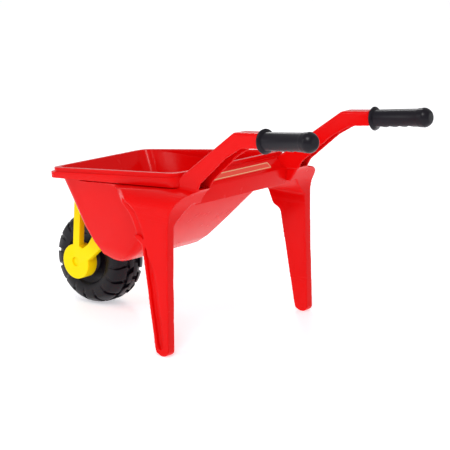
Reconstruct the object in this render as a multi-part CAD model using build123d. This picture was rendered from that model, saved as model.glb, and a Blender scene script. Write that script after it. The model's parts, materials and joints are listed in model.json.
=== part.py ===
from build123d import *
import os
from math import atan, atan2, cos, degrees, radians, sin, sqrt

os.makedirs("parts", exist_ok=True)

# A child's moulded plastic wheelbarrow.  Millimetres.  +X right, +Y forward
# towards the wheel, +Z up.  The ground is Z = 0 and the legs stand at Y = 0.

# ---------------------------------------------------------------- tub
WALL = 2.6                   # plastic wall of the tub
RIM_RISE = 0.10              # the rim climbs towards the handles by this slope
RIM_FRONT_Y, RIM_REAR_Y = 296.5, 22.0
RIM_Z0 = 265.2               # height of the rim at Y = 0
FRONT_LEAN = 0.495           # forward run of the front wall for each mm of height
HALF_WIDTH = 111.8           # half width of the tub, measured at the next two values
HALF_WIDTH_Y, HALF_WIDTH_Z = 185.0, 246.0
SIDE_LEAN = 0.177            # outward run of the side walls for each mm of height
SIDE_TAPER = 0.067           # sides close in towards the wheel
FLOOR_Z = 99.0               # underside of the tub floor
FLOOR_REAR, FLOOR_FRONT = (165.0, FLOOR_Z), (207.0, FLOOR_Z)
CURVE_REAR, CURVE_FRONT = (155.0, 105.0), (221.0, 106.5) # the bottom rounds up through here
LOW_REAR, LOW_FRONT = (139.0, 118.0), (234.0, 123.0)     # and here
KNEE_REAR, KNEE_Z = (109.0, 146.0), 146.0                # straight walls start here
BREAK_REAR, BREAK_Z = (60.0, 195.0), 195.0               # the long rear slope turns up to the rim
FLOOR_CORNER, CURVE_CORNER, LOW_CORNER, KNEE_CORNER = 9.0, 12.0, 14.0, 17.0
BREAK_CORNER, RIM_CORNER = 20.0, 20.0
FLOOR_TUCK, CURVE_TUCK = 7.0, 2.0         # the walls round in under the tub by this much
LIP_STEP, LIP_STEP_DROP, LIP_CORNER = 4.5, 7.0, 18.0     # upper step of the rolled rim
BAND_OUT, BAND_CORNER = 8.0, 17.0                        # outer band of the rolled rim
BAND_FRONT_DROP, BAND_REAR_DROP = 15.5, 20.5             # the band is deeper near the handles
LIP_SKIN = 2.4

# ---------------------------------------------------------------- legs and arms
LEG_IN = HALF_WIDTH + 40.2               # inner face of a leg
LEG_OUT = LEG_IN + 15.0
LEG_SPLAY = 1.2                          # degrees, the feet stand wider than the tops
FOOT_TRIM = 0.4                          # the splayed foot is trimmed flat on the ground
SHOULDER_FALL = 27.0                     # the shoulder rounds down this far to the leg's outer face
SHOULDER_IN, SHOULDER_BEND = HALF_WIDTH - 7.8, HALF_WIDTH + 9.2
SHOULDER_Z, ARMPIT_Z = 222.0, 192.0      # underside of the shoulder, at the tub and at the leg
WING_TIP_Y = 236.0                       # a thin wing of the shoulder runs forward under the rim
GROOVE_DEPTH = 6.0
ARM_PIVOT_X, ARM_TOE = HALF_WIDTH + 2.3, 5.88   # the arms spread towards the grips
ARM_HALF = 13.5
ARM_WALL = 3.0
BEND_Y, BEND_Z, BEND_R = -97.0, 337.5, 14.0     # where an arm turns level
ARM_FOOT_Y, ARM_FOOT_Z = 15.0, 257.5            # where its top meets the rim
FIT = 0.05                               # gap between seated pieces

# ---------------------------------------------------------------- grips
GRIP_Y, GRIP_Z = -146.0, 329.2           # front face of the grip flange on the arm
GRIP_TILT = 6.3
GRIP_LENGTH = 96.5
GRIP_R, FLANGE_R, FLANGE_T = 13.4, 17.9, 4.5
GRIP_END_SWELL = 0.8                     # the end knob is this much thicker in radius
SPIGOT_R, SPIGOT_LENGTH = 8.5, 74.0
WAVES, WAVE_PITCH, WAVE_DEPTH, WAVE_R = 4, 16.0, 2.2, 13.0

# ---------------------------------------------------------------- wheel and fork
WHEEL_R, TYRE_HALF = 75.0, 34.5
TUB_GAP = 5.9                            # the tyre passes the tub this close
LUGS, LUG_DEPTH, LUG_GAP, LUG_SLANT = 18, 6.5, 8.5, 14.0
WHEEL_WALL = 3.2
BOSS_R, BOSS_IN, BOSS_OUT = 28.0, 37.0, 57.0
STRUT_IN, STRUT_OUT = BOSS_OUT - 11.0, BOSS_OUT      # the struts lie flush with the boss's face
UPRIGHT_HALF = 6.6
AXLE_R, AXLE_HALF = 4.0, 50.0
AXLE_RUN = 0.05                          # radial running clearance on the axle
WASHER_R, WASHER_T = 10.0, 1.2
SIDE_PLAY = 0.6                          # end play between sleeve and washer
SLEEVE_R, SLEEVE_HALF = 8.0, BOSS_IN - WASHER_T - SIDE_PLAY
WHEEL_HUB_R, WHEEL_HUB_HALF = 17.0, SLEEVE_HALF - 1.2
POCKET_R, POCKET_DEPTH = 7.5, 8.0        # pocket in the boss for the axle cap
CAP_T = 5.0
SCREW_R, SCREW_HEAD_R, SCREW_HEAD_T = 1.9, 3.8, 2.2
SCREW_LENGTH, SCREW_SEAT = 13.0, 2.4     # shank length, head seat behind the tub's outside


def rim_z(y):
    """Height of the rim crest at a station along the tub."""
    return RIM_Z0 - RIM_RISE * y


BAND_SLOPE = RIM_RISE - (BAND_REAR_DROP - BAND_FRONT_DROP) / (RIM_FRONT_Y - RIM_REAR_Y)


def band_z(y):
    """Height of the rim band's lower edge."""
    return rim_z(RIM_REAR_Y) - BAND_REAR_DROP - BAND_SLOPE * (y - RIM_REAR_Y)


def roof_z(y):
    """Height of a leg's shoulder, just under the rim band."""
    return band_z(y) - FIT


def front_wall_y(z):
    """Outside of the tub's straight front wall at a height."""
    return RIM_FRONT_Y - FRONT_LEAN * (rim_z(RIM_FRONT_Y) - z)


def half_width(y, z):
    """Half width of the tub's outside at a station and a height."""
    return HALF_WIDTH - SIDE_TAPER * (y - HALF_WIDTH_Y) - SIDE_LEAN * (HALF_WIDTH_Z - z)


KNEE_FRONT = (front_wall_y(KNEE_Z), KNEE_Z)
BREAK_FRONT = (front_wall_y(BREAK_Z), BREAK_Z)

# The wheel stands on the ground and its tread clears the bottom of the tub.
HUB_Z = WHEEL_R
HUB_Y = max(y + sqrt((WHEEL_R + TUB_GAP) ** 2 - (z - HUB_Z) ** 2) for y, z in (LOW_FRONT, KNEE_FRONT))


def ring(rear, front, grow, radius):
    """Rounded four-sided outline across the tub, between a rear and a front (y, z)."""
    (ry, rz), (fy, fz) = rear, front
    length = sqrt((fy - ry) ** 2 + (fz - rz) ** 2)
    plane = Plane(origin=(0, ry, rz), x_dir=(1, 0, 0), z_dir=(0, rz - fz, fy - ry))
    wr, wf = half_width(ry, rz) + grow, half_width(fy, fz) + grow
    corners = [(-wr, -grow), (wr, -grow), (wf, length + grow), (-wf, length + grow)]
    flat = make_face(Polyline(*corners, close=True))
    return plane * fillet(flat.vertices(), radius)


def crest(over=0.0):
    return (RIM_REAR_Y, rim_z(RIM_REAR_Y) + over), (RIM_FRONT_Y, rim_z(RIM_FRONT_Y) + over)


def tub_body(inset, floor_rise, over):
    """Tub envelope: inset moves every wall inwards, and the floor rises on its own."""
    levels = [
        (FLOOR_REAR, FLOOR_FRONT, floor_rise, FLOOR_CORNER, FLOOR_TUCK),
        (CURVE_REAR, CURVE_FRONT, floor_rise * 0.9, CURVE_CORNER, CURVE_TUCK),
        (LOW_REAR, LOW_FRONT, floor_rise * 0.7, LOW_CORNER, 0.0),
        (KNEE_REAR, KNEE_FRONT, floor_rise * 0.4, KNEE_CORNER, 0.0),
        (BREAK_REAR, BREAK_FRONT, floor_rise * 0.4, BREAK_CORNER, 0.0),
        crest() + (over, RIM_CORNER, 0.0),
    ]
    rings = [ring((ry, rz + rise), (fy, fz + rise), -inset - tuck, radius)
             for (ry, rz), (fy, fz), rise, radius, tuck in levels]
    return loft(rings, ruled=True)


def rim_block(grow, top, bottom, corner):
    """Slab parallel to the rim plane, top and bottom measured down from the crest."""
    face = ring(*crest(), grow, corner)
    slab = extrude(face, amount=bottom - top, dir=(0, -RIM_RISE, -1))
    return Pos(0, -RIM_RISE * top, -top) * slab


def under_band(gap=0.0):
    """Space below the rim band's slanting lower edge."""
    space = Box(3 * HALF_WIDTH, 900, 60, align=(Align.CENTER, Align.CENTER, Align.MAX))
    return Pos(0, 0, band_z(0) - gap) * Rot(-degrees(atan(BAND_SLOPE)), 0, 0) * space


def rim_band(grow, gap=0.0):
    return rim_block(grow, LIP_STEP_DROP - 1.0, BAND_REAR_DROP + 2.0, BAND_CORNER) - under_band(gap)


def make_tub():
    outer = tub_body(0.0, 0.0, 0.0)
    inner = tub_body(WALL, WALL, 1.0)
    step = rim_block(LIP_STEP, 0.0, LIP_STEP_DROP, LIP_CORNER)
    hollow = rim_block(BAND_OUT - LIP_SKIN, LIP_STEP_DROP + 1.4, BAND_REAR_DROP + 4.0, BAND_CORNER - LIP_SKIN)
    lip = (step + rim_band(BAND_OUT)) - (hollow - outer)
    return (outer + lip) - inner


def tub_clearance():
    """Outside of the tub with its seat clearance, to shape the pieces against it."""
    return (tub_body(-FIT, 0.0, 0.0) + rim_block(LIP_STEP + FIT, -2.0, LIP_STEP_DROP, LIP_CORNER)
            + rim_band(BAND_OUT + FIT, FIT))


def leg_outline():
    """Side view of a leg with its wide top, drawn in Y and Z."""
    foot = Spline((-2.5, 9.0), (3.0, 1.6), (10.5, 0.0), (18.5, 3.2), (24.0, 14.0),
                  tangents=((0.2, -1.0), (0.25, 1.0)))
    shin = Polyline((24.0, 14.0), (40.0, 102.0), (50.0, 156.0))
    notch = Spline((50.0, 156.0), (55.0, 163.5), (63.0, 167.5), (68.5, 176.0),
                   tangents=((0.2, 1.0), (0.3, 1.0)))
    tip = (WING_TIP_Y, roof_z(WING_TIP_Y) - 2.2)
    flare = Spline((68.5, 176.0), (75.5, 192.0), (85.0, 205.0), (98.0, 216.5), (118.0, 225.0),
                   (146.0, roof_z(146.0) - 3.5), (190.0, roof_z(190.0) - 2.6), tip,
                   tangents=((0.35, 1.0), (1.0, -0.08)))
    roof = Polyline(tip, (WING_TIP_Y, roof_z(WING_TIP_Y)), (-27.0, roof_z(-27.0)))
    heel = Spline((-27.0, roof_z(-27.0)), (-13.0, 231.0), (-3.0, 214.0), (1.0, 190.0),
                  tangents=((1.0, -0.55), (0.03, -1.0)))
    calf = Polyline((1.0, 190.0), (0.5, 120.0), (-2.5, 9.0))
    return make_face(foot + shin + notch + flare + roof + heel + calf)


def leg_front():
    """Front view of a leg, with the shoulder that reaches in under the rim."""
    top = roof_z(0) + 6.0
    start, end = (LEG_OUT, roof_z(0) - SHOULDER_FALL), (SHOULDER_BEND + 7.0, roof_z(0) - 0.5)
    shoulder = Spline(start, (LEG_OUT - 7.0, roof_z(0) - 11.0), end, tangents=((0, 1), (-1, 0.12)))
    inside = Polyline(end, (SHOULDER_BEND, top), (SHOULDER_IN, top), (SHOULDER_IN, SHOULDER_Z),
                      (SHOULDER_BEND, SHOULDER_Z), (LEG_IN, ARMPIT_Z), (LEG_IN, -2), (LEG_OUT, -2), start)
    return make_face(shoulder + inside)


def leg_plan():
    """Plan view of a leg's wide top, closing in towards the tub at both ends."""
    inner, outer = SHOULDER_IN - 1.0, LEG_OUT
    corners = [(inner, -30), (outer - 21, -29), (outer - 5, -21), (outer + 4, -4), (outer + 9, 14),
               (outer + 9, 56), (outer + 2, 80), (outer - 12, 106), (outer - 30, 130), (outer - 43, 148),
               (outer - 51, 190), (outer - 56.5, WING_TIP_Y), (inner, WING_TIP_Y + 2)]
    return make_face(Spline(*corners[1:-1]) + Polyline(corners[-2], corners[-1], corners[0], corners[1]))


def leg_groove():
    """Long hollow down the front half of the outer face, rounded off at the foot."""
    bowl = Spline((8.5, 26.0), (8.8, 15.0), (13.5, 9.0), (18.5, 15.0), (20.8, 26.0),
                  tangents=((0.05, -1.0), (0.2, 1.0)))
    front = Polyline((20.8, 26.0), (35.8, 102.0), (46.0, 158.0))
    top = Spline((46.0, 158.0), (53.0, 172.0), (68.0, 172.0), tangents=((0.2, 1.0), (1.0, -0.4)))
    back = Polyline((68.0, 172.0), (160.0, 172.0), (160.0, 262.0), (124.0, 262.0))
    rise = Spline((124.0, 262.0), (98.0, 227.0), (70.0, 211.0), (52.0, 182.0), (41.0, 150.0), (8.5, 26.0),
                  tangents=((-0.3, -1.0), (-0.16, -1.0)))
    return make_face(bowl + front + top + back + rise)


def make_leg():
    side = Pos(SHOULDER_IN - 1, 0, 0) * extrude(Plane.YZ * leg_outline(), LEG_OUT - SHOULDER_IN + 2)
    front = Pos(0, -60, 0) * extrude(Plane.XZ * leg_front(), -(WING_TIP_Y + 70))
    leg = side & front & (Pos(0, 0, -5) * extrude(leg_plan(), 300))
    groove = Pos(LEG_OUT - GROOVE_DEPTH, 0, 0) * extrude(Plane.YZ * leg_groove(), GROOVE_DEPTH + 5)
    leg = leg - groove
    pivot_z = roof_z(0) - FOOT_TRIM
    splay = Pos(LEG_OUT, 0, pivot_z) * Rot(0, -LEG_SPLAY, 0) * Pos(-LEG_OUT, 0, -roof_z(0))
    return splay * leg - Pos(LEG_OUT, 0, 0) * Box(80, 80, 20, align=(Align.CENTER, Align.CENTER, Align.MAX))


def arm_top(y):
    """Height of an arm's sloping top line."""
    slope = (BEND_Z - ARM_FOOT_Z) / (ARM_FOOT_Y - BEND_Y)
    return BEND_Z - slope * max(y - BEND_Y, 0.0)


def arm_outline():
    """Side view of an arm: up from the rim corner, then level to the grip."""
    return Polyline((24.0, 250.0), (ARM_FOOT_Y, ARM_FOOT_Z), (BEND_Y, BEND_Z), (GRIP_Y, GRIP_Z + 12.6),
                    (GRIP_Y, GRIP_Z - 9.2), (-112.0, 316.3), (-81.0, 298.0), (-30.0, 254.5),
                    (-24.0, roof_z(-24.0) - 3.0), (24.0, roof_z(24.0) - 6.0), close=True)


def place_on_arm(shape):
    return Pos(ARM_PIVOT_X, 0, 0) * Rot(0, 0, ARM_TOE) * shape


def grip_axis(shape):
    """Turn a shape built along local +Z from the origin onto the grip's line."""
    return Pos(0, GRIP_Y, GRIP_Z) * Rot(90 - GRIP_TILT, 0, 0) * shape


def make_arm():
    bar = Pos(-ARM_HALF, 0, 0) * extrude(Plane.YZ * make_face(arm_outline()), 2 * ARM_HALF)
    bends = [e for e in bar.edges() if abs(e.center().Y - BEND_Y) < 1.0 and abs(e.center().Z - BEND_Z) < 1.0]
    bar = fillet(bends, BEND_R)
    upper = [e for e in bar.edges() if abs(abs(e.center().X) - ARM_HALF) < 0.01 and e.length > 3
             and abs(e.tangent_at(0.5).X) < 0.1 and e.center().Y > GRIP_Y + 5
             and e.center().Z > max(arm_top(e.center().Y) - 8, ARM_FOOT_Z + 4)]
    bar = fillet(upper, 3.5)
    trough = Pos(-ARM_HALF + ARM_WALL, 0, -4.4) * extrude(
        Plane.YZ * make_face(arm_outline()), 2 * (ARM_HALF - ARM_WALL))
    trough = trough & Pos(0, -62.0, 280) * Box(40, 140, 160)
    bar -= grip_axis(Cylinder(40, 60, align=(Align.CENTER, Align.CENTER, Align.MIN)))
    root = 10.0
    spigot = grip_axis(Cylinder(SPIGOT_R, SPIGOT_LENGTH + root, align=(Align.CENTER, Align.CENTER, Align.MIN)))
    spigot = Pos(0, root * cos(radians(GRIP_TILT)), -root * sin(radians(GRIP_TILT))) * spigot
    return place_on_arm((bar - trough) + spigot)


def make_side_frame():
    frame = make_arm() + make_leg()
    return frame - tub_clearance()


def make_grip():
    end_r = GRIP_R + GRIP_END_SWELL
    profile = Polyline((0, 0), (FLANGE_R - 1.5, 0), (FLANGE_R, 1.5), (FLANGE_R, FLANGE_T - 1.2),
                       (FLANGE_R - 1.2, FLANGE_T), (GRIP_R, FLANGE_T + 1.0),
                       (GRIP_R, GRIP_LENGTH - 22.0), (end_r, GRIP_LENGTH - 18.0))
    cap = Spline((end_r, GRIP_LENGTH - 18.0), (end_r, GRIP_LENGTH - 8.0), (end_r - 4.0, GRIP_LENGTH - 1.6),
                 (0, GRIP_LENGTH), tangents=((0, 1), (-1, 0)))
    face = make_face(profile + cap + Line((0, GRIP_LENGTH), (0, 0)))
    grip = revolve(Plane.XZ * face, Axis.Z)
    start = FLANGE_T + 9.0
    for i in range(WAVES):
        z = start + WAVE_PITCH * i
        scallop = Pos(0, -(GRIP_R + WAVE_R - WAVE_DEPTH), z) * Rot(0, 90, 0) * Cylinder(WAVE_R, 40)
        grip -= scallop
    bore = Cylinder(SPIGOT_R + FIT, SPIGOT_LENGTH + 1.0, align=(Align.CENTER, Align.CENTER, Align.MIN))
    return place_on_arm(grip_axis(grip - bore))


def make_rear_bridge(frames):
    """Sloping panel and skirt between the arms, behind the rim."""
    outline = Polyline((13.0, 255.0), (0.0, 243.2), (-2.0, 241.0), (-2.0, 238.5), (1.0, 216.0), (3.6, 216.0),
                       (1.6, 236.0), (2.4, 239.6), (11.0, 247.6), (13.0, 247.6), close=True)
    bar = Pos(-SHOULDER_IN, 0, 0) * extrude(Plane.YZ * make_face(outline), 2 * SHOULDER_IN)
    bar = bar - tub_clearance()
    for frame in frames:
        bar = bar - frame
    return max(bar.solids(), key=lambda s: s.volume)


LABEL_SLOPE = degrees(atan2(255.0 - 243.2, 13.0))
LABEL_LENGTH, LABEL_HEIGHT, LABEL_T = 142.0, 12.0, 0.8


def make_label_plate():
    """Thin raised plate lying on the sloping panel."""
    plate = Box(LABEL_LENGTH, LABEL_HEIGHT, LABEL_T, align=(Align.CENTER, Align.CENTER, Align.MIN))
    plate = fillet(plate.edges().filter_by(Axis.Z), 2.5)
    return Pos(0, 6.3, 248.92) * Rot(LABEL_SLOPE, 0, 0) * Pos(0, 0, 0.02) * plate


def wheel_profile():
    """Half of the wheel's section, X outwards along the axle and radius up."""
    r, h = WHEEL_R, TYRE_HALF
    tread = Spline((0, r), (h * 0.5, r - 2.0), (h * 0.84, r - 8.0), (h, r - 22.0),
                   tangents=((1, 0), (0.0, -1)))
    side = Polyline((h, r - 22.0), (h - 2.0, r - 29.0), (h - 9.0, r - 33.0), (h - 10.0, WHEEL_HUB_R + 6.0),
                    (WHEEL_HUB_HALF, WHEEL_HUB_R), (WHEEL_HUB_HALF, SLEEVE_R), (0, SLEEVE_R), (0, r))
    return make_face(tread + side)


def wheel_cavity():
    r, h = WHEEL_R - LUG_DEPTH - WHEEL_WALL, TYRE_HALF - WHEEL_WALL - 3.0
    return make_face(Polyline((-1, r), (h * 0.6, r - 3.5), (h, r - 15.0), (h - 7.0, r - 21.0),
                              (h - 7.0, WHEEL_HUB_R + 2.0), (-1, WHEEL_HUB_R + 2.0), close=True))


def make_wheel_half(phase):
    """Right half of the hollow wheel about the X axis, split on the middle plane."""
    to_axle = Plane(origin=(0, 0, 0), x_dir=(1, 0, 0), z_dir=(0, -1, 0))
    half = revolve(to_axle * wheel_profile(), Axis.X) - revolve(to_axle * wheel_cavity(), Axis.X)
    groove = Box(TYRE_HALF * 0.95, LUG_GAP, 2 * LUG_DEPTH)
    lug = Pos(TYRE_HALF * 0.6, 0, WHEEL_R) * Rot(0, 0, LUG_SLANT) * groove
    shoulder = Pos(TYRE_HALF, LUG_GAP * 0.4, WHEEL_R - 14.0) * Box(8.0, LUG_GAP, 24.0)
    cuts = []
    for i in range(LUGS):
        turn = Rot(phase + i * 360.0 / LUGS, 0, 0)
        cuts += [turn * lug, turn * shoulder]
    half = half - cuts
    return Pos(0, HUB_Y, HUB_Z) * half


def make_hub_sleeve():
    sleeve = Rot(0, 90, 0) * Cylinder(SLEEVE_R - 0.02, 2 * SLEEVE_HALF)
    return Pos(0, HUB_Y, HUB_Z) * (sleeve - Rot(0, 90, 0) * Cylinder(AXLE_R + AXLE_RUN, 80))


def upright_outline():
    """Side view of the strut from the hub up to a pad on the front wall."""
    top = band_z(RIM_FRONT_Y) - 5.0
    pad = top - 28.0
    return Polyline((HUB_Y - UPRIGHT_HALF, HUB_Z), (HUB_Y - 6.0 - UPRIGHT_HALF, pad - 18.0),
                    (front_wall_y(pad) + 3.0, pad - 3.0), (front_wall_y(pad) - 20.0, pad),
                    (front_wall_y(top) - 20.0, top), (front_wall_y(top) + 3.0, top), (HUB_Y - 3.0, top - 10.0),
                    (HUB_Y - 6.0 + UPRIGHT_HALF, pad - 18.0), (HUB_Y + UPRIGHT_HALF, HUB_Z), close=True)


def stay_outline():
    """Side view of the strut from the hub back to the foot of the tub."""
    (low_y, low_z), (knee_y, knee_z) = LOW_FRONT, KNEE_FRONT
    return Polyline((HUB_Y - 8.0, HUB_Z - 16.0), (HUB_Y - 30.0, HUB_Z + 8.0), (low_y + 12.0, low_z - 20.0),
                    (low_y - 30.0, low_z - 8.0), (low_y - 20.0, knee_z + 4.0), (knee_y - 10.0, knee_z + 4.0),
                    (HUB_Y - 28.0, HUB_Z + 32.0), (HUB_Y, HUB_Z + 12.0), close=True)


def make_fork_bracket():
    """Hub boss with one strut up to the rim and one back to the foot of the tub."""
    boss = Pos(BOSS_IN, HUB_Y, HUB_Z) * Rot(0, 90, 0) * Cylinder(
        BOSS_R, BOSS_OUT - BOSS_IN, align=(Align.CENTER, Align.CENTER, Align.MIN))
    boss = fillet(boss.edges().filter_by(GeomType.CIRCLE).sort_by(Axis.X)[-1], 1.2)
    struts = [Pos(STRUT_IN, 0, 0) * extrude(Plane.YZ * make_face(line), STRUT_OUT - STRUT_IN)
              for line in (upright_outline(), stay_outline())]
    bracket = boss + struts[0] + struts[1]
    bore = Rot(0, 90, 0) * Cylinder(AXLE_R + 0.02, 4 * BOSS_OUT)
    pocket = Pos(BOSS_OUT - POCKET_DEPTH, 0, 0) * Rot(0, 90, 0) * Cylinder(
        POCKET_R, 20, align=(Align.CENTER, Align.CENTER, Align.MIN))
    bracket = bracket - Pos(0, HUB_Y, HUB_Z) * (bore + pocket)
    bracket = bracket - tub_clearance()
    return max(bracket.solids(), key=lambda s: s.volume)


def make_axle():
    return Pos(0, HUB_Y, HUB_Z) * Rot(0, 90, 0) * Cylinder(AXLE_R, 2 * AXLE_HALF)


def make_washer():
    washer = Cylinder(WASHER_R, WASHER_T, align=(Align.CENTER, Align.CENTER, Align.MAX))
    washer -= Cylinder(AXLE_R + 0.02, 10)
    return Pos(BOSS_IN, HUB_Y, HUB_Z) * Rot(0, 90, 0) * washer


def make_axle_cap():
    """Push-on cap gripping the axle end inside the boss pocket."""
    cap = Cylinder(POCKET_R - FIT, CAP_T, align=(Align.CENTER, Align.CENTER, Align.MIN))
    cap = fillet(cap.edges().filter_by(GeomType.CIRCLE).sort_by(Axis.Z)[-1], 0.6)
    cap -= Cylinder(AXLE_R + 0.02, 2 * (CAP_T - 2.0))
    return Pos(AXLE_HALF - 1.0 + 0.02, HUB_Y, HUB_Z) * Rot(0, 90, 0) * cap


def screw(point, direction, grow=0.0):
    """Self-tapping screw: head at the point, shank along the direction."""
    shank = Cylinder(SCREW_R + grow, SCREW_LENGTH, align=(Align.CENTER, Align.CENTER, Align.MIN))
    head = Cylinder(SCREW_HEAD_R + grow, SCREW_HEAD_T + 4 * grow, align=(Align.CENTER, Align.CENTER, Align.MAX))
    return Plane(origin=point, z_dir=direction) * (shank + head)


def fork_screws(grow=0.0):
    """Two screws from inside the tub's front wall into a fork bracket."""
    x = (STRUT_IN + STRUT_OUT) / 2
    (low_y, low_z), (knee_y, knee_z) = LOW_FRONT, KNEE_FRONT
    upper_z = band_z(RIM_FRONT_Y) - 21.0
    low_lean = (knee_y - low_y) / (knee_z - low_z)
    seats = [(front_wall_y(upper_z), upper_z, FRONT_LEAN),
             ((low_y + knee_y) / 2, (low_z + knee_z) / 2, low_lean)]
    screws = []
    for y, z, lean in seats:
        back = SCREW_SEAT / sqrt(1 + lean ** 2)
        screws.append(screw((x, y - back, z + back * lean), (0, 1, -lean), grow))
    return screws


def frame_screws(grow=0.0):
    """Two screws from inside the tub's side wall into a side frame."""
    screws = []
    for y in (72.0, 102.0):
        z = roof_z(y) - 7.0
        point = (half_width(y, z) - SCREW_SEAT, y, z + SCREW_SEAT * SIDE_LEAN)
        screws.append(screw(point, (1, SIDE_TAPER, -SIDE_LEAN), grow))
    return screws


def drill(shape, cutters):
    for cutter in cutters:
        shape = shape - cutter
    return shape


def both_sides(name, shape):
    return {"right_" + name: shape, "left_" + name: mirror(shape, Plane.YZ)}


def all_pieces():
    right_holes = fork_screws(FIT) + frame_screws(FIT)
    holes = right_holes + [mirror(hole, Plane.YZ) for hole in right_holes]
    pieces = {"tub": drill(make_tub(), holes)}
    pieces.update(both_sides("side_frame", drill(make_side_frame(), frame_screws(FIT))))
    pieces["rear_bridge"] = make_rear_bridge((pieces["right_side_frame"], pieces["left_side_frame"]))
    pieces["label_plate"] = make_label_plate()
    pieces.update(both_sides("grip", make_grip()))
    pieces.update(both_sides("fork_bracket", drill(make_fork_bracket(), fork_screws(FIT))))
    pieces.update(both_sides("washer", make_washer()))
    pieces.update(both_sides("axle_cap", make_axle_cap()))
    pieces.update(both_sides("fork_screws", Compound(children=fork_screws())))
    pieces.update(both_sides("frame_screws", Compound(children=frame_screws())))
    pieces["right_wheel_half"] = make_wheel_half(0.0)
    pieces["left_wheel_half"] = mirror(make_wheel_half(180.0 / LUGS), Plane.YZ)   # lugs staggered
    pieces["hub_sleeve"] = make_hub_sleeve()
    pieces["axle"] = make_axle()
    return pieces


def write_all(pieces):
    """Save each piece, moved so that the origin is under the middle of the whole length."""
    rear = pieces["right_grip"].bounding_box().min.Y
    middle = (rear + HUB_Y + WHEEL_R) / 2
    print("middle of the length, from the legs: %.3f" % middle)
    for name, shape in pieces.items():
        shape = Pos(0, -middle, 0) * shape
        export_step(shape if isinstance(shape, (Part, Compound)) else Part() + shape, "parts/%s.step" % name)
        print(name, len(shape.solids()), "solid(s)")


write_all(all_pieces())
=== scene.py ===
# %% [markdown]
# A child's moulded plastic wheelbarrow. The frame is the measured model: every
# piece in it already has its true size and place, and moves as the real one does.
# We load it first; the new tyre is sized from the box of the wheel piece, so that it stays
# inside it.

# %% Load the frame
import bpy, bmesh, json, math
from mathutils import Matrix, Vector


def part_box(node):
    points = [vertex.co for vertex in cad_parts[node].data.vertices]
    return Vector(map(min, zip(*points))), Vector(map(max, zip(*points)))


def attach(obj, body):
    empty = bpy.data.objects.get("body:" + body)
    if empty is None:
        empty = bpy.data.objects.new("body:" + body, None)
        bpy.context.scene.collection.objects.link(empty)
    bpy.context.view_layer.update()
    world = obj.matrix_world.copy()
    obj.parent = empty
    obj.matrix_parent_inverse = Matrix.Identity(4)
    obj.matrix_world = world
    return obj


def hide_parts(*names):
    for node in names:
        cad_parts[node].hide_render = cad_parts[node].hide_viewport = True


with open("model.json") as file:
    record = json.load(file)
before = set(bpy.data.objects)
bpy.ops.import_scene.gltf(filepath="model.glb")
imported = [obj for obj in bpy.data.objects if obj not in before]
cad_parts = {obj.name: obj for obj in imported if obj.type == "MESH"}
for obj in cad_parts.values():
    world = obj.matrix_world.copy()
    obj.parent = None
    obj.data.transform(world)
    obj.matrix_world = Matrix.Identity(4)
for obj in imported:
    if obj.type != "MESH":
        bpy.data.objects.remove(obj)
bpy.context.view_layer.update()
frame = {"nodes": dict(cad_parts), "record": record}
nodes = frame["nodes"]

# %% [markdown]
# Moulded plastic is never one flat colour. The pigment drifts a little, handling
# leaves fine scratches and the mould leaves a grain. These masks are needed by
# every material, so they come from one node group with named inputs.

# %% Small helpers for shader nodes
def group_socket(tree, name, way, value=None):
    socket = tree.interface.new_socket(name=name, in_out=way, socket_type="NodeSocketFloat")
    if value is not None:
        socket.default_value = value


def link(tree, source, target):
    tree.links.new(source, target)


def noise(tree, detail, vector, size):
    """A noise texture whose scale is a group input."""
    texture = tree.nodes.new("ShaderNodeTexNoise")
    texture.inputs["Detail"].default_value = detail
    link(tree, vector, texture.inputs["Vector"])
    link(tree, size, texture.inputs["Scale"])
    return texture.outputs["Fac"]


# %% Shared effect: pigment drift, mould grain and scratches
SCRATCH_TURN = (0.5, 0.35, 0.8)
SCRATCH_STRETCH = (1.0, 0.06, 1.0)
SCRATCH_FROM, SCRATCH_TO = 0.55, 0.72


def moulded_surface_group():
    tree = bpy.data.node_groups.new("moulded surface", "ShaderNodeTree")
    for name, value in (("Drift size", 9.0), ("Grain size", 900.0),
                        ("Scratch size", 60.0), ("Amount", 1.0)):
        group_socket(tree, name, "INPUT", value)
    for name in ("Drift", "Grain", "Scratches"):
        group_socket(tree, name, "OUTPUT")
    inside = tree.nodes.new("NodeGroupInput")
    outside = tree.nodes.new("NodeGroupOutput")
    place = tree.nodes.new("ShaderNodeTexCoord").outputs["Object"]
    drift = noise(tree, 3.0, place, inside.outputs["Drift size"])
    grain = noise(tree, 2.0, place, inside.outputs["Grain size"])
    turned = tree.nodes.new("ShaderNodeMapping")
    turned.inputs["Rotation"].default_value = SCRATCH_TURN
    turned.inputs["Scale"].default_value = SCRATCH_STRETCH
    link(tree, place, turned.inputs["Vector"])
    lines = noise(tree, 6.0, turned.outputs["Vector"], inside.outputs["Scratch size"])
    cut = tree.nodes.new("ShaderNodeMapRange")
    cut.inputs["From Min"].default_value = SCRATCH_FROM
    cut.inputs["From Max"].default_value = SCRATCH_TO
    link(tree, lines, cut.inputs["Value"])
    strength = tree.nodes.new("ShaderNodeMath")
    strength.operation = "MULTIPLY"
    link(tree, cut.outputs["Result"], strength.inputs[0])
    link(tree, inside.outputs["Amount"], strength.inputs[1])
    link(tree, drift, outside.inputs["Drift"])
    link(tree, grain, outside.inputs["Grain"])
    link(tree, strength.outputs["Value"], outside.inputs["Scratches"])
    return tree


surface_marks = moulded_surface_group()
print("node group", surface_marks.name)

# %% [markdown]
# Each plastic mixes a deep and a bright shade by the drift, is rougher where it is
# scratched, and takes a faint bump from the grain. What is the same all over the
# piece is set on the shader itself.

# %% A plastic made from those masks
PLASTIC_IOR = 1.49
GRAIN_BUMP = 0.25


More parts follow.
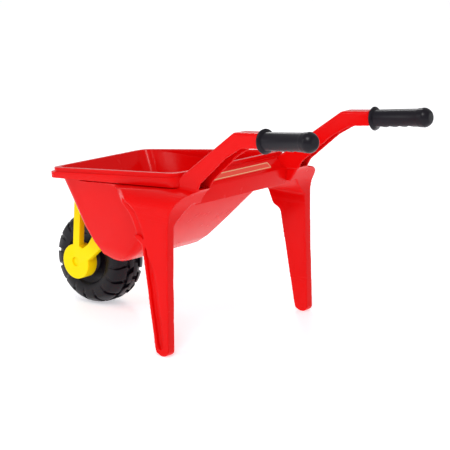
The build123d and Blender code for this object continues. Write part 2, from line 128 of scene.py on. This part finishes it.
def plastic(name, deep, bright, rough, rough_worn, grain_height, grain=900.0, shine=0.3):
    material = bpy.data.materials.new(name)
    material.use_nodes = True
    tree = material.node_tree
    shader = tree.nodes["Principled BSDF"]
    shader.inputs["IOR"].default_value = PLASTIC_IOR
    shader.inputs["Specular IOR Level"].default_value = shine
    effect = tree.nodes.new("ShaderNodeGroup")
    effect.node_tree = surface_marks
    effect.inputs["Grain size"].default_value = grain
    colour = tree.nodes.new("ShaderNodeMix")
    colour.data_type = "RGBA"
    colour.inputs["A"].default_value = (*deep, 1)
    colour.inputs["B"].default_value = (*bright, 1)
    link(tree, effect.outputs["Drift"], colour.inputs["Factor"])
    link(tree, colour.outputs["Result"], shader.inputs["Base Color"])
    worn = tree.nodes.new("ShaderNodeMapRange")
    worn.inputs["To Min"].default_value = rough
    worn.inputs["To Max"].default_value = rough_worn
    link(tree, effect.outputs["Scratches"], worn.inputs["Value"])
    link(tree, worn.outputs["Result"], shader.inputs["Roughness"])
    bump = tree.nodes.new("ShaderNodeBump")
    bump.inputs["Strength"].default_value = GRAIN_BUMP
    bump.inputs["Distance"].default_value = grain_height
    link(tree, effect.outputs["Grain"], bump.inputs["Height"])
    link(tree, bump.outputs["Normal"], shader.inputs["Normal"])
    return material


red = plastic("red polypropylene", (0.70, 0.0015, 0.002), (0.84, 0.003, 0.003),
              rough=0.17, rough_worn=0.34, grain_height=0.0002, shine=0.1)
yellow = plastic("yellow polypropylene", (0.93, 0.70, 0.0), (1.0, 0.80, 0.0),
                 rough=0.34, rough_worn=0.48, grain_height=0.0003, shine=0.1)
wheel_black = plastic("black wheel plastic", (0.003, 0.0024, 0.004), (0.008, 0.006, 0.011),
                      rough=0.28, rough_worn=0.52, grain_height=0.0006, grain=500.0, shine=0.22)
grip_black = plastic("black grip plastic", (0.004, 0.003, 0.006), (0.010, 0.008, 0.014),
                     rough=0.30, rough_worn=0.52, grain_height=0.0005, grain=700.0, shine=0.22)
film = plastic("printed film", (0.80, 0.05, 0.03), (0.88, 0.09, 0.05),
               rough=0.3, rough_worn=0.4, grain_height=0.0002)
cream = plastic("cream print", (0.80, 0.62, 0.30), (0.88, 0.74, 0.42),
                rough=0.35, rough_worn=0.45, grain_height=0.0002)
zinc = plastic("zinc plate", (0.55, 0.56, 0.58), (0.68, 0.69, 0.71),
               rough=0.28, rough_worn=0.5, grain_height=0.0003)
nylon = plastic("natural nylon", (0.70, 0.69, 0.64), (0.80, 0.79, 0.74),
                rough=0.4, rough_worn=0.5, grain_height=0.0003)
by_slot = {"body_plastic": red, "fork_plastic": yellow, "wheel_plastic": wheel_black,
           "grip_plastic": grip_black, "label_film": film, "zinc_steel": zinc,
           "sleeve_plastic": nylon}
print("materials", len(by_slot) + 1)

# %% [markdown]
# The small hardware, such as the screws, washers, axle and caps, already has the
# right shape in the frame, so those pieces only need their finish.

# %% Paint the frame's own pieces
slot_of = {s["node"]: s["material_slot"] for s in frame["record"]["subparts"]}
for name, piece in nodes.items():
    material = by_slot[slot_of[name]]
    if piece.material_slots:
        for s in piece.material_slots:
            s.material = material
    else:
        piece.data.materials.append(material)
print("painted", len(nodes))

# %% [markdown]
# The barrow's shells come out of a mould, so no edge on them is truly sharp.
# A rounded edge catches a thin line of light, and that line is what the eye reads
# as moulded plastic. We copy each shell, merge it into clean faces and bevel its
# sharp edges. On an outside edge a bevel only takes material away, so the piece
# keeps its true size.

# %% Helpers that turn mesh work into a finished piece
CAD_MERGE = 2e-6
FLAT_DEGREES = 1.0


def merged_copy(name):
    """A copy of a frame piece with its corners merged and its flat faces joined."""
    shape = bmesh.new()
    shape.from_mesh(nodes[name].data)
    shape.transform(nodes[name].matrix_world)
    bmesh.ops.remove_doubles(shape, verts=shape.verts, dist=CAD_MERGE)
    bmesh.ops.dissolve_limit(shape, angle_limit=math.radians(FLAT_DEGREES),
                             verts=shape.verts, edges=shape.edges)
    bmesh.ops.recalc_face_normals(shape, faces=shape.faces)
    return shape


def finish_piece(shape, name, material, body, replaced, sharp=35.0):
    """Turn mesh work into a named object that rides on a body of the frame."""
    mesh = bpy.data.meshes.new(name)
    shape.to_mesh(mesh)
    shape.free()
    mesh.polygons.foreach_set("use_smooth", [True] * len(mesh.polygons))
    mesh.set_sharp_from_angle(angle=math.radians(sharp))
    mesh.materials.append(material)
    piece = bpy.data.objects.new(name, mesh)
    bpy.context.scene.collection.objects.link(piece)
    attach(piece, body)
    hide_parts(replaced)
    print(name, "faces", len(mesh.polygons))
    return piece


def sharp_edges(shape, angle, shortest=0.0):
    """Edges where two faces meet at more than an angle, and long enough to bevel."""
    return [e for e in shape.edges if len(e.link_faces) == 2
            and e.calc_face_angle(0.0) > math.radians(angle) and e.calc_length() > shortest]


def round_edges(shape, edges, radius):
    bmesh.ops.bevel(shape, geom=edges, offset=radius, segments=3, profile=0.5,
                    affect="EDGES", material=-1, clamp_overlap=True)


# %% Soft-edged shells: tub, rear panel, fork brackets and grips
SHELL_SHARP_DEGREES = 38.0
SHORTEST_EDGE = 0.0008
EDGE_ROUND = {"tub": 0.0009, "rear_bridge": 0.0008,
              "left_fork_bracket": 0.0010, "right_fork_bracket": 0.0010,
              "left_grip": 0.0007, "right_grip": 0.0007}

for name, radius in EDGE_ROUND.items():
    shell = merged_copy(name)
    round_edges(shell, sharp_edges(shell, SHELL_SHARP_DEGREES, SHORTEST_EDGE), radius)
    finish_piece(shell, name + "_moulding", by_slot[slot_of[name]], "barrow", name)

# %% [markdown]
# The arm and leg of each side are one thick moulding with large soft corners. A
# bevel can't follow where so many slopes meet, so here we re-skin the copy in small
# even faces and relax them, which rounds every edge by the same amount, as the
# mould does.

# %% Soft side frames
SKIN_SIZE, RELAX_ROUNDS = 0.0013, 3
ALL_SMOOTH = 180.0

for name in ("left_side_frame", "right_side_frame"):
    moulding = finish_piece(merged_copy(name), name + "_moulding", red, "barrow",
                            name, ALL_SMOOTH)
    skin = moulding.modifiers.new("even skin", "REMESH")
    skin.mode, skin.voxel_size, skin.use_smooth_shade = "VOXEL", SKIN_SIZE, True
    relax = moulding.modifiers.new("soft edges", "SMOOTH")
    relax.factor, relax.iterations = 0.5, RELAX_ROUNDS

# %% [markdown]
# The wheel is moulded in two halves with deep tread. We spin the half section at
# groove level into a ring, raise the blocks out of it in two staggered rows, round
# their edges, and then twist the ring a little so that the blocks slant.

# %% Sizes of the wheel
wheel_low, wheel_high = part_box("right_wheel_half")
HUB = Vector((0, (wheel_low[1] + wheel_high[1]) / 2, (wheel_low[2] + wheel_high[2]) / 2))
WHEEL_CLEARANCE = 0.0002
WHEEL_RADIUS = (wheel_high[2] - wheel_low[2]) / 2 - WHEEL_CLEARANCE
WHEEL_HALF = wheel_high[0]
BLOCKS, STEPS_PER_BLOCK = 16, 9
BLOCK_HEIGHT, BLOCK_ROUND, BLOCK_SHARP_DEGREES = 0.0052, 0.0013, 42.0
BLOCK_SHARE, SLANT = 0.73, 0.16
TREAD_DEPTH = 0.0262                # how far below the crown blocks still stand
HUB_SHARE = 0.6                     # share of the radius inside which no edge is rounded
SPIN_MERGE = 1e-6
TYRE_SMOOTH_DEGREES = 40.0
SPLIT_GAP = 0.03                    # this and the next three are shares of the half width
ROW_GAP_FROM, ROW_BREAK, ROW_GAP_TO = 0.34, 0.42, 0.45
print("wheel radius", round(WHEEL_RADIUS, 4), "half width", round(WHEEL_HALF, 4))


# %% Chunky wheel halves
def wheel_section():
    """Half section at groove level, as distances from the split and radii."""
    r, h = WHEEL_RADIUS - BLOCK_HEIGHT, WHEEL_HALF
    tread = [(h * f, r - 0.0145 * f ** 3.2)
             for f in (0.0, 0.12, 0.26, 0.42, 0.58, 0.72, 0.83, 0.90)]
    shoulder = [(h * 0.95, r - 0.021), (h * 0.92, r - 0.027)]
    side_wall = [(h * 0.80, r - 0.030), (h * 0.72, 0.024)]
    hub = [(h * 0.90, 0.0172), (h * 0.98, 0.0162), (h * 0.98, 0.0082), (0.0, 0.0082)]
    return tread + shoulder + side_wall + hub


def block_face(face, phase):
    """True where a tread block stands: two rows, the second half a pitch on."""
    centre = face.calc_center_median() - HUB
    x, radius = abs(centre.x) / WHEEL_HALF, math.hypot(centre.y, centre.z)
    if radius < WHEEL_RADIUS - TREAD_DEPTH or x < SPLIT_GAP:
        return False
    row = 0 if x < ROW_BREAK else 1
    turn = (math.atan2(centre.z, centre.y) / math.tau * BLOCKS + phase + 0.5 * row) % 1.0
    return turn < BLOCK_SHARE and not ROW_GAP_FROM < x < ROW_GAP_TO


def make_wheel_half(side, phase):
    shape = bmesh.new()
    ring = [shape.verts.new(HUB + Vector((side * x, 0, radius)))
            for x, radius in wheel_section()]
    edges = [shape.edges.new((a, b)) for a, b in zip(ring, ring[1:] + ring[:1])]
    bmesh.ops.spin(shape, geom=ring + edges, cent=HUB, axis=(1, 0, 0), angle=math.tau,
                   steps=BLOCKS * STEPS_PER_BLOCK, use_merge=True)
    bmesh.ops.remove_doubles(shape, verts=shape.verts, dist=SPIN_MERGE)
    bmesh.ops.recalc_face_normals(shape, faces=shape.faces)
    blocks = [f for f in shape.faces if block_face(f, phase)]
    raised = bmesh.ops.extrude_face_region(shape, geom=blocks)["geom"]
    bmesh.ops.delete(shape, geom=blocks, context="FACES_ONLY")
    for v in (g for g in raised if isinstance(g, bmesh.types.BMVert)):
        out = v.co - HUB
        out.x = 0
        v.co += out.normalized() * BLOCK_HEIGHT
    shape.normal_update()
    block_edges = [e for e in sharp_edges(shape, BLOCK_SHARP_DEGREES)
                   if (e.verts[0].co - HUB).length > WHEEL_RADIUS * HUB_SHARE]
    round_edges(shape, block_edges, BLOCK_ROUND)
    for v in shape.verts:
        twist = Matrix.Rotation(SLANT * side * v.co.x / WHEEL_HALF, 3, "X")
        v.co = HUB + twist @ (v.co - HUB)
    bmesh.ops.recalc_face_normals(shape, faces=shape.faces)
    return shape


for side, phase, word in ((1, 0.0, "right"), (-1, 0.5, "left")):
    finish_piece(make_wheel_half(side, phase), word + "_tyre", wheel_black, "wheel",
                 word + "_wheel_half", TYRE_SMOOTH_DEGREES)

# %% [markdown]
# A label lies on the sloping panel behind the rim. Its lettering is left out: only
# the plain printed border is kept. Two insets of the top face, one inside the other,
# leave a narrow band between them, and that band takes the cream print.

# %% Label border
BORDER_MARGIN, BORDER_WIDTH = 0.0012, 0.0009


def make_label_border():
    shape = merged_copy("label_plate")
    top = max(shape.faces, key=lambda f: f.calc_area() * max(f.normal.z, 0))
    bmesh.ops.inset_individual(shape, faces=[top], thickness=BORDER_MARGIN)
    band = bmesh.ops.inset_individual(shape, faces=[top], thickness=BORDER_WIDTH)["faces"]
    for face in band:
        face.material_index = 1
    return shape


label = finish_piece(make_label_border(), "printed_label", film, "barrow",
                     "label_plate")
label.data.materials.append(cream)

# %% [markdown]
# The stage is a wide pale floor under soft studio light. The floor glows a little,
# so that it reads as paper that runs on into a white wall.

# %% Floor, light and camera
FLOOR_SIZE = 12.0


def make_floor():
    mesh = bpy.data.meshes.new("floor")
    sheet = bmesh.new()
    bmesh.ops.create_grid(sheet, x_segments=2, y_segments=2, size=FLOOR_SIZE)
    sheet.to_mesh(mesh)
    sheet.free()
    floor = bpy.data.objects.new("floor", mesh)
    bpy.context.scene.collection.objects.link(floor)
    paper = bpy.data.materials.new("studio paper")
    paper.use_nodes = True
    shader = paper.node_tree.nodes["Principled BSDF"]
    shader.inputs["Base Color"].default_value = (0.93, 0.93, 0.94, 1)
    shader.inputs["Roughness"].default_value = 0.4
    shader.inputs["Emission Color"].default_value = (0.97, 0.96, 1.0, 1)
    shader.inputs["Emission Strength"].default_value = 0.50
    mesh.materials.append(paper)


def area_light(name, place, aim, size, watts):
    data = bpy.data.lights.new(name, "AREA")
    data.shape, data.size, data.size_y, data.energy = "RECTANGLE", size[0], size[1], watts
    lamp = bpy.data.objects.new(name, data)
    lamp.location = place
    lamp.rotation_euler = (Vector(aim) - Vector(place)).to_track_quat("-Z", "Y").to_euler()
    bpy.context.scene.collection.objects.link(lamp)


def make_camera(azimuth, elevation, place, lens):
    data = bpy.data.cameras.new("camera")
    data.lens = lens
    data.clip_start, data.clip_end = 0.05, 40.0
    eye = bpy.data.objects.new("camera", data)
    a, e = math.radians(azimuth), math.radians(elevation)
    ahead = Vector((math.sin(a) * math.cos(e), math.cos(a) * math.cos(e), -math.sin(e)))
    eye.location = place
    eye.rotation_euler = ahead.to_track_quat("-Z", "Y").to_euler()
    bpy.context.scene.collection.objects.link(eye)
    bpy.context.scene.camera = eye


make_floor()
area_light("key", place=(-1.6, -0.9, 2.3), aim=(0, 0, 0.15), size=(0.55, 0.9), watts=26)
area_light("fill", place=(-2.4, 1.2, 1.2), aim=(0, 0, 0.2), size=(0.5, 1.4), watts=9)
area_light("rim", place=(1.6, 1.6, 1.9), aim=(0, 0, 0.2), size=(0.4, 1.6), watts=12)
world = bpy.data.worlds.new("studio")
world.use_nodes = True
world.node_tree.nodes["Background"].inputs["Color"].default_value = (1, 1, 1, 1)
world.node_tree.nodes["Background"].inputs["Strength"].default_value = 0.55
bpy.context.scene.world = world
bpy.context.scene.view_settings.view_transform = "Standard"
make_camera(azimuth=49.78, elevation=12.64, place=(-2.0137, -1.7343, 0.7546), lens=142.6)
print("lights 3, camera set")
